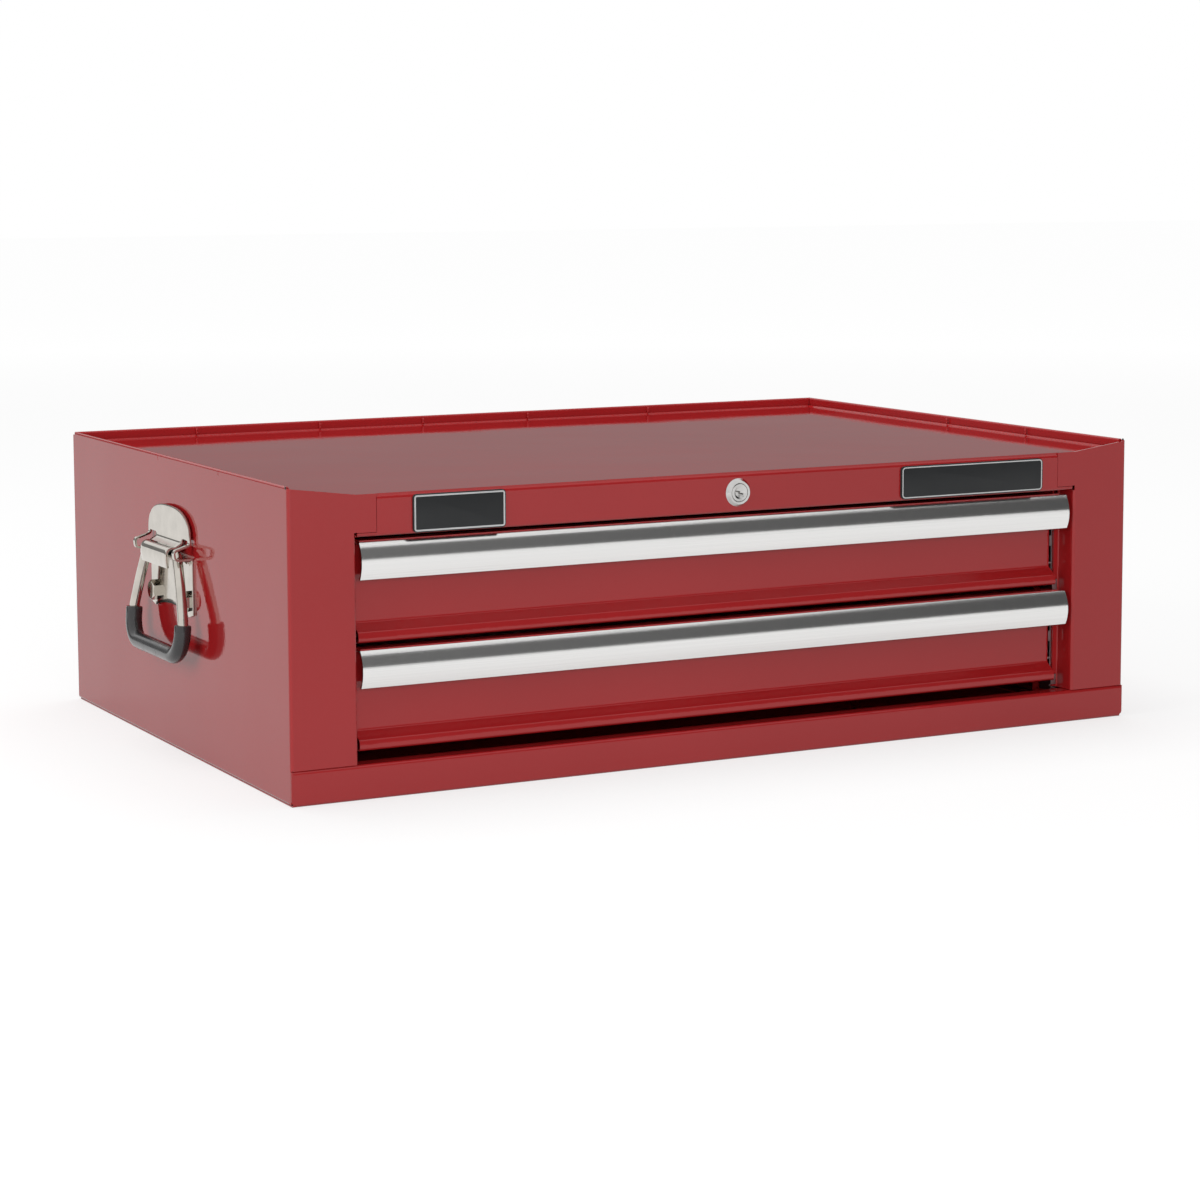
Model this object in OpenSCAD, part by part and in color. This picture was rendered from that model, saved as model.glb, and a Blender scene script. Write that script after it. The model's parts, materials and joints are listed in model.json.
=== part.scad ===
// Two-drawer tool chest in folded sheet steel, with aluminium pulls, ball slides, a rear locking bar
// and drop handles.
// Millimetres. +X right, front towards -Y, +Z up, origin at the centre of the base.

/* [Case] */
// Overall width across the side walls
case_w = 680; // [600:5:800]
// Depth from the front plane to the back plane
case_d = 454; // [440:2:540]
// Thickness of the case sheet
sheet = 1; // [0.8:0.1:1.4]
// Height of the front rail under the drawers
base_rail_h = 24; // [18:1:40]
// Height of the front rail over the drawers
top_rail_h = 28.5; // [26:0.5:44]
// Height of the rim round the top panel
rim_h = 7.5; // [7:0.5:14]
// Width of each front post
post_w = 48; // [40:1:70]
// Depth of the return beside the drawers
reveal_d = 18; // [17:0.5:26]
// Width of the return's inner flange
reveal_lip = 4.4; // [3:0.2:6]
// Middle radius of the case bends
case_bend = 1.6; // [1.4:0.1:2]
// Middle radius of the rolled front edge of the top panel
roll_bend = 3; // [2:0.25:5]

/* [Drawers] */
// Height of each drawer front
front_h = 69.5; // [62:0.5:110]
// Gap under the lower drawer front
low_gap = 7.5; // [4:0.5:12]
// Gap between the drawer fronts
mid_gap = 3.5; // [2.5:0.5:8]
// Gap over the upper drawer front
high_gap = 3; // [2:0.5:8]
// Gap at each end of a drawer front
end_gap = 10; // [8:0.5:14]
// How far the flat of a drawer front stands behind the case front
front_inset = 16.8; // [14:0.2:20]
// How far the lower lip stands out from the flat
lip_out = 9.5; // [6:0.5:12]
// Height of the lower lip's face
lip_h = 7; // [6:0.5:10]
// Thickness of the drawer sheet
tray_sheet = 0.8; // [0.6:0.1:1.2]
// Gap between the tray and the back panel
tray_rear_gap = 26; // [24:1:40]
// How far the tray walls end below the top of the front
tray_drop = 6; // [4:0.5:14]

/* [Pulls] */
// Gap at each end of a pull
pull_end_gap = 4; // [2:0.5:6]
// Height of the pull's face
pull_h = 26; // [22:0.5:34]
// Outer radius of the pull's curve
pull_r = 22.5; // [20:0.5:30]
// Wall of the pull
pull_wall = 1.3; // [1:0.1:2]
// How far the pull stands in front of the case front
pull_proud = 0.5; // [0:0.1:2]

/* [Slides] */
// Gap between the slides and the back plane
slide_rear_gap = 34; // [33:1:60]
// Length that stays engaged in a slide when its drawer is fully open
slide_overlap = 85; // [60:5:140]
// Height of the slide
slide_h = 35; // [32:0.5:45]
// Thickness of the slide between upright and tray
slide_t = 12.7; // [12.4:0.1:14]
// Sheet of the slide members
slide_sheet = 1.2; // [1:0.1:1.4]
// Diameter of the balls
ball_d = 4.2; // [3.6:0.1:4.4]
// Balls in each row
ball_count = 5; // [3:1:6]

/* [Lock] */
// Diameter of the lock head
lock_head_d = 20; // [17:0.5:22]
// Diameter of the turning core
core_d = 13; // [10:0.5:13.5]
// Length of the lock barrel behind the rail
barrel_l = 20; // [14:1:28]
// Diameter of the rod to the rear
rod_d = 6; // [5:0.5:7]
// Reach of the crank at the rear
crank_r = 9; // [7:0.5:10]
// Width of the locking bar
bar_w = 28; // [24:1:40]
// Thickness of the locking bar
bar_t = 1.5; // [1.2:0.1:2.5]
// Width of the hooks and of the catches' lips
hook_w = 14; // [10:1:20]

/* [Drop handles] */
// Width of the handle bracket
bracket_w = 87; // [82:1:100]
// Sheet of the handle bracket
bracket_t = 1.6; // [1.2:0.1:2]
// Height of the bail's pivot over the base
pivot_z = 145.5; // [120:0.5:150]
// Distance of the pivot from the side wall
pivot_out = 8.2; // [7.6:0.1:10]
// Diameter of the bail wire
wire_d = 5.8; // [5:0.1:6.4]
// Drop of the bail from its pivot
bail_drop = 70; // [66:1:84]
// Half width of the bail at its grip
bail_half = 62.5; // [58:0.1:72]
// Diameter of the grip sleeve
grip_d = 11; // [9:0.5:13]
// Lean of the hanging bail
bail_lean = 4.9; // [3:0.1:8]

/* [Hidden] */

// Colours
red = "#b21f2b";
zinc = "#b9bcc0";
silver = "#d5d7da";
chrome = "#c8cbd0";
black = "#1c1c1e";

// Clearances
seam = 0.3;            // hairline joint between two sheets of the case
hug = 0.1;             // between sheets that are spot-welded together
run = 0.3;             // between pieces that slide past each other
bore_run = 0.06;       // radial clearance of a turning fit
sleeve_fit = 0.04;     // radial clearance between sleeve and wire
rod_ease = 0.02;       // how much a bent rod is drawn down between its bends
rod_lap = 0.3;         // reach of its straight stretches into the bends

// Case
half_w = case_w / 2;
front_y = -case_d / 2;
back_y = case_d / 2;
open_half = half_w - post_w;
open_z0 = base_rail_h;
pitch = front_h + mid_gap;
open_z1 = open_z0 + low_gap + 2 * front_h + mid_gap + high_gap;
panel_z = open_z1 + top_rail_h;
case_h = panel_z + rim_h;
hem_w = 2 * sheet + 2 * hug;         // from the wall's middle to the hem's middle
wall_x = half_w - sheet / 2;
tab_in = 15;                         // how far a post's tab reaches over the rail
tab_seam = 2.8;                      // height of its lower edge over the opening
tab_z0 = open_z1 + tab_seam;
tab_end = open_half - tab_in;
slope_drop = 1.2;                    // fall of the post's top at the side wall
slope_top = case_h - slope_drop;
relief_w = 2.2;                      // notch at the opening's upper corners
relief_h = 3.4;
rail_fold = 14;                      // depth of the rails' folded flanges
rail_turn = 4;                       // height of the flanges' turned edges
side_flange = 16;
back_flange = 12;
back_skirt = 6;                      // height of the flange turned up outside the back panel's foot
foot_z = 2 * sheet + case_bend;      // what stands over the side walls' bottom flanges starts here
corner_cut = 3;                      // rounding of the case's lower front corners
bend_steps = 4;

// Drawers
tray_half = open_half - reveal_lip - slide_t;
upright_x = open_half - reveal_lip;
front_half = open_half - end_gap;
panel_y = front_y + front_inset;             // outer face of a drawer front's flat
lip_y = panel_y - lip_out;
tray_y0 = panel_y + tray_sheet;
tray_y1 = back_y - tray_rear_gap;
tray_bend = tray_sheet / 2 + 1;
flare_h = 5.5;                               // rise of the slope over the lower lip
front_flange_y = front_y + 5;                // front edge of a drawer front's top flange

// Pulls
pull_half = open_half - pull_end_gap;
pull_rise = pull_h * 0.56;                   // height of the curve over its foremost line
pull_bead = 1.1;
pull_leg = 9;

// Slides
slide_y0 = front_y + reveal_d + 2 * sheet;
slide_y1 = back_y - slide_rear_gap;
slide_l = slide_y1 - slide_y0;
slide_zc = 32;                               // height of the slide's middle over a front's lower edge
race = slide_h / 2 - slide_sheet;            // inner face of the fixed member's flanges
ball_v = race - run - ball_d / 2;            // height of the ball rows
inner_v = ball_v - ball_d / 2 - run;         // outer face of the moving member's flanges
outer_lip_u = slide_t - 2.7 - slide_sheet / 2;
outer_lip_v = inner_v + 0.7;
inner_lip_u = outer_lip_u - slide_sheet - ball_d - 2 * 0.2;
inner_lip_v = inner_v + 1.1;
cage_t = 0.8;
cage_u = (slide_sheet + inner_lip_u - slide_sheet / 2) / 2;
ball_u = (outer_lip_u + inner_lip_u) / 2;
slide_bend = slide_sheet / 2 + 0.3;
inner_l = slide_l - 15;
drawer_travel = inner_l - slide_overlap;
stop_t = 1.5;
cage_play = 3.4;                             // left over in the cage's run
cage_l = slide_overlap - 2 * (stop_t + run) - cage_play;
cage_y0 = slide_y0 + drawer_travel / 2 + stop_t + run;
cage_rim = 4;                                // from the cage's end to its row of balls
screw_in = 12;                               // from a slide's front end to its fixing hole
channel_d = 20;                              // depth of a rear upright
channel_in = 40;                             // from its front to the slides' rear ends
weld_foot = 10;                              // width of the uprights' feet
hook_z = [-10.3, -5.2];                      // lower ends of a slide's hooks over a front's lower edge
hook_h = [3.5, 7.7];                         // their heights
hook_edge = 0.8;                             // from the return's wall to the hooks' slots
hook_plate = 12;                             // length of the plate that the hooks stand on

// Lock
lock_z = panel_z - sheet - (top_rail_h - 2 * sheet) / 2 - 0.25;
head_t = 3.2;
nut_t = 4;
key_slot = [3.3, 1.1, 0.6];                  // reach, height and overlap of the two halves of the keyhole
key_tilt = 12;
key_depth = 6;                               // depth of the keyhole behind the case front
core_tail = 6;
rod_seat = 5;                                // depth of the rod's socket in the core's tail
bar_y1 = back_y - sheet - run;               // rear face of the locking bar
bar_y0 = bar_y1 - bar_t;
bar_x = crank_r * 0.85;
crank_t = 3;
crank_y0 = bar_y0 - 4 - crank_t;
crank_pin_d = 5;
crank_slack = 0.5;                           // room for the pin over and under it in its slot
bar_travel = 2 * crank_r * sin(45);
pin_z = lock_z - crank_r * sin(45);
bar_top = pin_z + crank_pin_d / 2 + crank_slack + 2.4;
bar_bottom = open_z0 + low_gap + 6;
catch_gap = 2;                               // between an unlocked hook and its catch
tooth_h = bar_travel + bar_t / 2 - catch_gap + 1;
catch_t = 1.2;
tooth_zc = 26;                               // height of a tooth's top over a front's lower edge
tooth_y = (tray_y1 + bar_y0) / 2 - 1;        // middle of the tooth
guide_h = 12;
guide_t = 1.2;

// Drop handles
handle_y = -3;
pivot_slack = 0.5;
nose_r = wire_d / 2 + pivot_slack + bracket_t / 2;   // middle radius of the bracket's ridge
tab_gap = 1.8;                               // behind the bracket's tab
tab_out = tab_gap + bracket_t / 2;
ridge_corner = pivot_out + nose_r / tan(22.5);
return_z = pivot_z - nose_r;
tab_base_z = return_z + ridge_corner - tab_out;
tab_rise = 21;
plate_drop = 44;                             // from the pivot to the plate's lower corners
arch_rise = 5.5;
arch_in = 8;                                 // from the plate's corners to its arch
plate_corner = 6;                            // slant of the plate's lower corners
slot_edge = 3;                               // outside the slots for the bail's legs
slot_w = 16.5;
slot_end = bracket_w / 2 - slot_edge;
band_half = slot_end - slot_w;
band_drop = 10;
bolt_in = 9.5;
bolt_y = bracket_w / 2 - bolt_in;
bolt_under = 32.5;
bolt_z = pivot_z - bolt_under;
bolt_d = 8;
bolt_slack = 0.2;                            // radial clearance of the bolt holes
bolt_af = 13;
bolt_head = 4.5;
nut_h = 6.5;
bolt_end = 2;                                // what shows of the bolt past its nut
leg_stop = pivot_out + nose_r * tan(bail_lean) - wire_d / 2 - run;
bail_in = 9;
bail_top = slot_end - bail_in;               // half length of the bail's straight pivot
elbow = [bail_half - 12, -22.5];             // slight bend of the legs
knee = [bail_half, -45.5];                   // where the legs turn upright
bail_foot = [bail_half, -bail_drop];
knee_r = 14;
bail_corner = 16;
grip_start = -49.3;

// --- Shared helpers ---

// Profiles drawn in Y and Z, X and Z, or X and Y, and drawn out along the third axis
module along_x(x0, x1) translate([x0, 0, 0]) rotate([90, 0, 90]) linear_extrude(x1 - x0) children();
module along_y(y0, y1) translate([0, y1, 0]) rotate([90, 0, 0]) linear_extrude(y1 - y0) children();
module along_z(z0, z1) translate([0, 0, z0]) linear_extrude(z1 - z0) children();

// Turned about an axis that runs back from y at height z
module turned_y(y, z) translate([0, y, z]) rotate([-90, 0, 0]) children();

// A block between two opposite corners
module block(low, high) translate(low) cube(high - low);

// Everything is drawn for the left side, and mirrored for the right
module on_side(right) {
    if (right) mirror([1, 0, 0]) children();
    else children();
}

function unit(v) = v / norm(v);
function turned(v, a) = [v[0] * cos(a) - v[1] * sin(a), v[0] * sin(a) + v[1] * cos(a)];

// Signed turn of a path at b, coming from a and going on to c
function turn_at(a, b, c) = let (p = unit(b - a), q = unit(c - b)) atan2(cross(p, q), p * q);

// Points of one face of a sheet round the bend at b; off is that face's distance left of the middle line
function bend_face(a, b, c, r, off) =
    let (p = unit(b - a), turn = turn_at(a, b, c), side = sign(turn))
    let (normal = turned(p, 90) * side, centre = b - p * r * tan(abs(turn) / 2) + normal * r)
    [for (i = [0:bend_steps]) centre - turned(normal, turn * i / bend_steps) * (r - side * off)];

// Points of one whole face of a folded sheet
function sheet_face(path, radii, off) =
    let (n = len(path), first = unit(path[1] - path[0]), last = unit(path[n - 1] - path[n - 2]))
    concat(
        [path[0] + turned(first, 90) * off],
        [for (i = [1:1:n - 2]) each bend_face(path[i - 1], path[i], path[i + 1], radii[i - 1], off)],
        [path[n - 1] + turned(last, 90) * off]
    );

// Section of a sheet of thickness t folded along a middle line, with a bend radius for each corner
module folded(path, t, radii) {
    left = sheet_face(path, radii, t / 2);
    right = sheet_face(path, radii, -t / 2);
    polygon(concat(left, [for (i = [len(right) - 1:-1:0]) right[i]]));
}

function same(value, count) = [for (i = [1:count]) value];

// A round rod of diameter d bent along a path in X and Y; its straight stretches are drawn down a hair
module bent_rod(path, radii, d) {
    n = len(path);
    setback = [
        for (i = [1:n - 2])
            radii[i - 1] * tan(abs(turn_at(path[i - 1], path[i], path[i + 1])) / 2) - rod_lap
    ];
    for (i = [0:n - 2]) {
        way = unit(path[i + 1] - path[i]);
        start = path[i] + way * (i == 0 ? 0 : setback[i - 1]);
        stop = path[i + 1] - way * (i == n - 2 ? 0 : setback[i]);
        translate([start[0], start[1], 0])
            rotate([0, 90, atan2(way[1], way[0])])
                cylinder(h = norm(stop - start), d = d - 2 * rod_ease, $fn = 32);
    }
    for (i = [1:n - 2]) {
        way = unit(path[i] - path[i - 1]);
        turn = turn_at(path[i - 1], path[i], path[i + 1]);
        side = sign(turn);
        centre = path[i] - way * (setback[i - 1] + rod_lap) + turned(way, 90 * side) * radii[i - 1];
        from = atan2(way[1], way[0]) - 90 * side + (turn < 0 ? turn : 0);
        translate([centre[0], centre[1], 0])
            rotate([0, 0, from])
                rotate_extrude(angle = abs(turn), $fn = 64)
                    translate([radii[i - 1], 0]) circle(d = d, $fn = 32);
    }
}

function front_z(level) = open_z0 + low_gap + level * pitch;

// --- Case ---

// Side wall with its wrapped front post, rolled rim and bottom flange
module side_panel(right) {
    mid = -wall_x;
    post_mid = front_y + sheet / 2;
    reveal_mid = -open_half - sheet / 2;
    lip_mid = front_y + reveal_d + sheet / 2;
    joint_y = front_y + 3 * case_bend;
    color(red) on_side(right) {
        difference() {
            union() {
                // Wall, from the bottom flange up to the rim
                along_y(joint_y, back_y)
                    folded(
                        [[mid + side_flange, 1.5 * sheet], [mid, 1.5 * sheet], [mid, case_h - hem_w]],
                        sheet, [case_bend]);
                // Rolled rim
                along_y(joint_y, back_y - hem_w - 2 * sheet)
                    folded(
                        [[mid, case_h - 2 * hem_w], [mid, case_h - sheet / 2],
                         [mid + hem_w, case_h - sheet / 2], [mid + hem_w, panel_z + 1.2]],
                        sheet, same(hem_w / 2, 2));
                along_y(joint_y, back_y)
                    translate([-half_w, case_h - 2 * hem_w]) square([sheet, hem_w]);
                // Wall below the post, behind the base rail
                block([-half_w, front_y + sheet + seam, 2 * sheet], [-half_w + sheet, joint_y, open_z0 + seam]);
                // Post, return and inner flange
                along_z(open_z0 + seam, open_z1 - seam)
                    folded(
                        [[mid, joint_y], [mid, post_mid], [reveal_mid, post_mid],
                         [reveal_mid, lip_mid], [-upright_x, lip_mid]],
                        sheet, same(case_bend, 3));
                // Post beside the top rail, with its tab over the rail
                along_z(open_z1 - seam, case_h - hem_w / 2)
                    folded([[mid, joint_y], [mid, post_mid], [-open_half, post_mid]], sheet, [case_bend]);
                block([-open_half - sheet, front_y, tab_z0], [-tab_end, front_y + sheet, panel_z]);
            }
            // Holes for the handle's bolts
            for (y = [-bolt_y, bolt_y])
                translate([-half_w - sheet, handle_y + y, bolt_z])
                    rotate([0, 90, 0]) cylinder(h = 3 * sheet, d = bolt_d + 2 * bolt_slack, $fn = 48);
            // The post's top slopes down to the rail
            along_y(front_y - sheet, front_y + sheet + 0.01)
                polygon([
                    [-half_w - sheet, slope_top], [-half_w, slope_top], [-open_half, panel_z],
                    [-tab_end + sheet, panel_z], [-tab_end + sheet, case_h + sheet],
                    [-half_w - sheet, case_h + sheet]
                ]);
            corner_relief();
            // Slots in the inner flange for the slides' hooks
            for (level = [0:2]) for (i = [0, 1])
                block([-open_half + hook_edge, lip_mid - sheet, front_z(level) + hook_z[i] - seam],
                      [-upright_x + sheet, lip_mid + sheet, front_z(level) + hook_z[i] + hook_h[i] + seam]);
        }
    }
}

// Notch through post and rail at the opening's upper left corner
module corner_relief() block(
    [-open_half - relief_w / 2, front_y - sheet, open_z1 - 2 * seam],
    [-open_half + relief_w / 2, front_y + 2 * sheet, open_z1 - 2 * seam + relief_h + seam]);

// Back wall, with its edges turned forward and a rolled rim
module back_panel() {
    mid = back_y - sheet / 2;
    edge = half_w - sheet - hug - sheet / 2;
    color(red) {
        along_z(foot_z, panel_z - 2 * sheet)
            folded(
                [[-edge, mid - back_flange], [-edge, mid], [edge, mid], [edge, mid - back_flange]],
                sheet, same(case_bend, 2));
        along_x(-edge + side_flange + seam, edge - side_flange - seam)
            folded(
                [[mid - back_flange, 1.5 * sheet], [mid, 1.5 * sheet], [mid, back_skirt]],
                sheet, [case_bend]);
        along_x(-edge - sheet / 2, edge + sheet / 2)
            folded(
                [[mid, panel_z - 3 * sheet], [mid, case_h - sheet / 2],
                 [mid - hem_w, case_h - sheet / 2], [mid - hem_w, panel_z + 1.2]],
                sheet, same(hem_w / 2, 2));
    }
}

// Top panel, turned up inside the rims and rolled over at the front into the rail
module top_panel() {
    mid_z = panel_z - sheet / 2;
    post_mid = front_y + sheet / 2;
    edge = half_w - sheet - hug - sheet / 2;
    back_mid = back_y - sheet - hug - sheet / 2;
    turn_z = case_h - 2 * sheet;
    behind = front_y + sheet + hug;
    color(red) difference() {
        union() {
            along_x(-open_half + seam, open_half - seam)
                folded(
                    [[back_mid, turn_z], [back_mid, mid_z], [post_mid, mid_z],
                     [post_mid, open_z1 + sheet / 2], [post_mid + rail_fold, open_z1 + sheet / 2],
                     [post_mid + rail_fold, open_z1 + rail_turn]],
                    sheet, [case_bend, roll_bend, case_bend, case_bend]);
            along_x(-edge + case_bend, edge - case_bend)
                folded([[back_mid, turn_z], [back_mid, mid_z], [behind, mid_z]], sheet, [case_bend]);
            along_y(front_y + 4 * sheet, back_mid - 3 * sheet)
                folded(
                    [[-edge, turn_z], [-edge, mid_z], [edge, mid_z], [edge, turn_z]],
                    sheet, same(case_bend, 2));
        }
        // Room for the posts' tabs
        for (right = [false, true]) on_side(right) {
            block([-half_w, front_y - sheet, tab_z0 - seam], [-tab_end + seam, behind, case_h]);
            corner_relief();
        }
        // Lock
        turned_y(front_y - sheet, lock_z) cylinder(h = 4 * sheet, d = barrel_d() + 2 * hug, $fn = 64);
    }
}

// Floor, folded up at the front into the base rail
module base_pan() {
    post_mid = front_y + sheet / 2;
    inner = half_w - sheet - 2 * hug;
    color(red) difference() {
        union() {
            along_x(-inner, inner)
                folded(
                    [[back_y - sheet, sheet / 2], [post_mid, sheet / 2], [post_mid, base_rail_h - sheet / 2],
                     [post_mid + rail_fold, base_rail_h - sheet / 2],
                     [post_mid + rail_fold, base_rail_h - rail_turn]],
                    sheet, same(case_bend, 3));
            block([-half_w, front_y, case_bend + sheet / 2],
                  [half_w, front_y + sheet, base_rail_h - case_bend - sheet / 2]);
            // The face runs on over the wall's edges
            for (right = [false, true]) on_side(right)
                block([-half_w, front_y, 1.5 * sheet], [-inner, front_y + sheet, base_rail_h]);
        }
        for (right = [false, true]) on_side(right) translate([-half_w, 0, 1.5 * sheet]) corner_trim(corner_cut);
    }
}

// Rounds the lower outer corner of the base rail's face
module corner_trim(r) {
    along_y(front_y - sheet, front_y + sheet + 0.01) difference() {
        translate([-r, -r]) square(2 * r);
        translate([r, r]) circle(r = r, $fn = 32);
    }
}

// Strip behind the front post, folded back to the side wall
module front_upright(right) {
    foot_x = -half_w + sheet + slide_sheet / 2;
    web_x = -upright_x - slide_sheet / 2;
    turn_y = slide_y0 + 2 * screw_in;
    color(red) on_side(right) along_z(foot_z, open_z1 - seam)
        folded(
            [[web_x, slide_y0], [web_x, turn_y], [foot_x, turn_y], [foot_x, turn_y + weld_foot]],
            slide_sheet, same(slide_bend + 0.4, 2));
}

// Channel welded to the side wall, which carries the slides' rear ends
module rear_upright(right) {
    foot_x = -half_w + sheet + slide_sheet / 2;
    web_x = -upright_x - slide_sheet / 2;
    y0 = slide_y1 - channel_in;
    y1 = y0 + channel_d;
    color(red) on_side(right) along_z(foot_z, panel_z - sheet - hug)
        folded(
            [[foot_x, y0 - weld_foot], [foot_x, y0], [web_x, y0], [web_x, y1], [foot_x, y1],
             [foot_x, y1 + weld_foot]],
            slide_sheet, same(slide_bend + 0.4, 4));
}

// --- Slides, drawn from the upright's face at u = 0 towards the tray, with v = 0 at mid height ---

module slide_frame(level, right, y0, y1) {
    on_side(right) translate([-upright_x, 0, front_z(level) + slide_zc]) along_y(y0, y1) children();
}

// Fixed member, hooked into the case at the front
module slide_outer(level, right) {
    half = slide_h / 2 - slide_sheet / 2;
    mid = slide_sheet / 2;
    foot_z = front_z(level) + hook_z[0];
    face_y = front_y + reveal_d;
    color(zinc) {
        difference() {
            slide_frame(level, right, slide_y0, slide_y1)
                folded(
                    [[outer_lip_u, outer_lip_v], [outer_lip_u, half], [mid, half],
                     [mid, -half], [outer_lip_u, -half], [outer_lip_u, -outer_lip_v]],
                    slide_sheet, same(slide_bend, 4));
            // Fixing holes at the uprights
            for (y = [slide_y0 + screw_in, slide_y1 - channel_in + channel_d / 2])
                on_side(right) translate([-upright_x - slide_sheet, y, front_z(level) + slide_zc])
                    rotate([0, 90, 0]) cylinder(h = 3 * slide_sheet, d = 4.5, $fn = 32);
        }
        // Front stop for the cage
        on_side(right) translate([-upright_x, slide_y0, front_z(level) + slide_zc])
            block([slide_sheet / 2, 0, -4], [cage_u + cage_t / 2 + 0.1, stop_t, 4]);
        // Plate under the member, with the hooks on its front edge
        on_side(right) {
            block([-upright_x, slide_y0, foot_z],
                  [-upright_x + slide_sheet, slide_y0 + hook_plate, foot_z + slide_zc - hook_z[0] - half]);
            for (i = [0, 1]) translate([0, 0, front_z(level) + hook_z[i]]) {
                block([-upright_x, face_y, 0], [-upright_x + slide_sheet, slide_y0 + 1, hook_h[i]]);
                block([-open_half + hook_edge + seam, face_y, 0], [-upright_x + 1, slide_y0 - seam, hook_h[i]]);
            }
        }
    }
}

// Moving member
module slide_inner(level, right) {
    mid = slide_t - slide_sheet / 2;
    half = inner_v - slide_sheet / 2;
    color(zinc) {
        slide_frame(level, right, slide_y0, slide_y0 + inner_l)
            folded(
                [[inner_lip_u, inner_lip_v], [inner_lip_u, half], [mid, half],
                 [mid, -half], [inner_lip_u, -half], [inner_lip_u, -inner_lip_v]],
                slide_sheet, same(slide_bend, 4));
        // Rear stop for the cage
        on_side(right) translate([-upright_x, slide_y0 + inner_l - stop_t, front_z(level) + slide_zc])
            block([cage_u - cage_t / 2 - 0.1, 0, -4], [slide_t - slide_sheet / 2, stop_t, 4]);
    }
}

ball_pitch = (cage_l - 2 * cage_rim) / ball_count;
function ball_y(i) = cage_y0 + cage_rim + ball_pitch * (i + 0.5);

// Ball cage
module slide_cage(level, right) {
    color(silver) difference() {
        slide_frame(level, right, cage_y0, cage_y0 + cage_l)
            folded(
                [[outer_lip_u - slide_sheet, ball_v], [cage_u, ball_v],
                 [cage_u, -ball_v], [outer_lip_u - slide_sheet, -ball_v]],
                cage_t, same(cage_t, 2));
        on_side(right) for (i = [0:ball_count - 1])
            translate([-upright_x + ball_u, ball_y(i), front_z(level) + slide_zc - slide_h / 2])
                cylinder(h = slide_h, d = ball_d + run, $fn = 32);
    }
}

// Two rows of balls
module slide_balls(level, right) {
    color(chrome) on_side(right) for (i = [0:ball_count - 1], row = [-1, 1])
        translate([-upright_x + ball_u, ball_y(i), front_z(level) + slide_zc + row * ball_v])
            sphere(d = ball_d, $fn = 32);
}

// --- Drawers ---

// Folded drawer front: lower lip, slope, flat and top flange
module drawer_front(level) {
    z0 = front_z(level);
    mid = tray_sheet / 2;
    flat = panel_y + mid;
    color(red) along_x(-front_half, front_half)
        folded(
            [[tray_y0 + 12, z0 + mid], [lip_y + mid, z0 + mid], [lip_y + mid, z0 + lip_h],
             [flat, z0 + lip_h + flare_h], [flat, z0 + front_h - mid],
             [front_flange_y, z0 + front_h - mid]],
            tray_sheet, [2, 2, 3, 1.6]);
}

// Tray folded from one sheet: floor, side walls, back and front corner tabs
module drawer_tray(level) {
    mid = tray_sheet / 2;
    floor_z = front_z(level) + tray_sheet + mid;
    top = front_z(level) + front_h - tray_drop;
    edge = tray_half - mid;
    roll = 5;
    tab = 12;
    color(red) {
        along_y(tray_y0, tray_y1)
            folded(
                [[-edge + roll, top - mid], [-edge, top - mid], [-edge, floor_z],
                 [edge, floor_z], [edge, top - mid], [edge - roll, top - mid]],
                tray_sheet, same(tray_bend, 4));
        along_x(-edge + roll, edge - roll)
            folded(
                [[tray_y1 - 3 * roll, floor_z], [tray_y1 - mid, floor_z],
                 [tray_y1 - mid, top - mid], [tray_y1 - mid - roll, top - mid]],
                tray_sheet, same(tray_bend, 2));
        // Corner tabs behind the front and at the back
        for (right = [false, true]) on_side(right) {
            for (end = [[tray_y0, 1], [tray_y1, -1]])
                along_z(floor_z + 2 * tray_bend, top - 2 * tray_bend)
                    folded(
                        [[-edge, end[0] + end[1] * 4 * tray_bend], [-edge, end[0] + end[1] * mid],
                         [-edge + tab, end[0] + end[1] * mid]],
                        tray_sheet, [tray_bend]);
        }
    }
}

// Extruded pull: a curved face with a finger bead, and a leg under the front's top flange
module drawer_pull(level) {
    // Centre of the curve, and the leg's heights from there
    centre = [front_y - pull_proud + pull_r, front_z(level) + front_h - pull_rise];
    leg_top = pull_rise - tray_sheet;
    corner_z = leg_top - pull_wall / 2;
    corner_r = pull_r - pull_wall / 2;
    corner_y = -sqrt(corner_r * corner_r - corner_z * corner_z);
    top_a = asin(corner_z / corner_r);
    low_a = asin((pull_h - pull_rise) / pull_r);
    color(silver) along_x(-pull_half, pull_half) translate(centre) {
        intersection() {
            difference() {
                circle(r = pull_r, $fn = 128);
                circle(r = pull_r - pull_wall, $fn = 128);
            }
            polygon(2 * pull_r * [[0, 0], [-cos(low_a), -sin(low_a)], [-1, 0], [-cos(top_a), sin(top_a)]]);
        }
        // Rounded corner, leg and bead
        translate([corner_y, corner_z]) circle(r = pull_wall / 2 - 0.01, $fn = 32);
        translate([corner_y, leg_top - pull_wall]) square([pull_leg, pull_wall]);
        rotate(low_a) translate([-pull_r + pull_bead + 0.02, 0]) circle(r = pull_bead, $fn = 32);
    }
}

// Catch behind the tray, which the locking bar's hook holds back
module drawer_catch(level) {
    mid = catch_t / 2;
    tooth_top = front_z(level) + tooth_zc;
    lip_y_mid = tooth_y + bar_t / 2 + 1 + mid;
    leg_z = tooth_top + bar_travel + 1.2 + mid;
    color(zinc) along_x(bar_x - hook_w / 2 - 3, bar_x + hook_w / 2 + 3)
        folded(
            [[tray_y1 + mid, leg_z - 14], [tray_y1 + mid, leg_z],
             [lip_y_mid, leg_z], [lip_y_mid, tooth_top + catch_gap]],
            catch_t, same(catch_t, 2));
}

// --- Lock ---

function barrel_d() = min(lock_head_d - 1.4, top_rail_h - 8);

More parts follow.
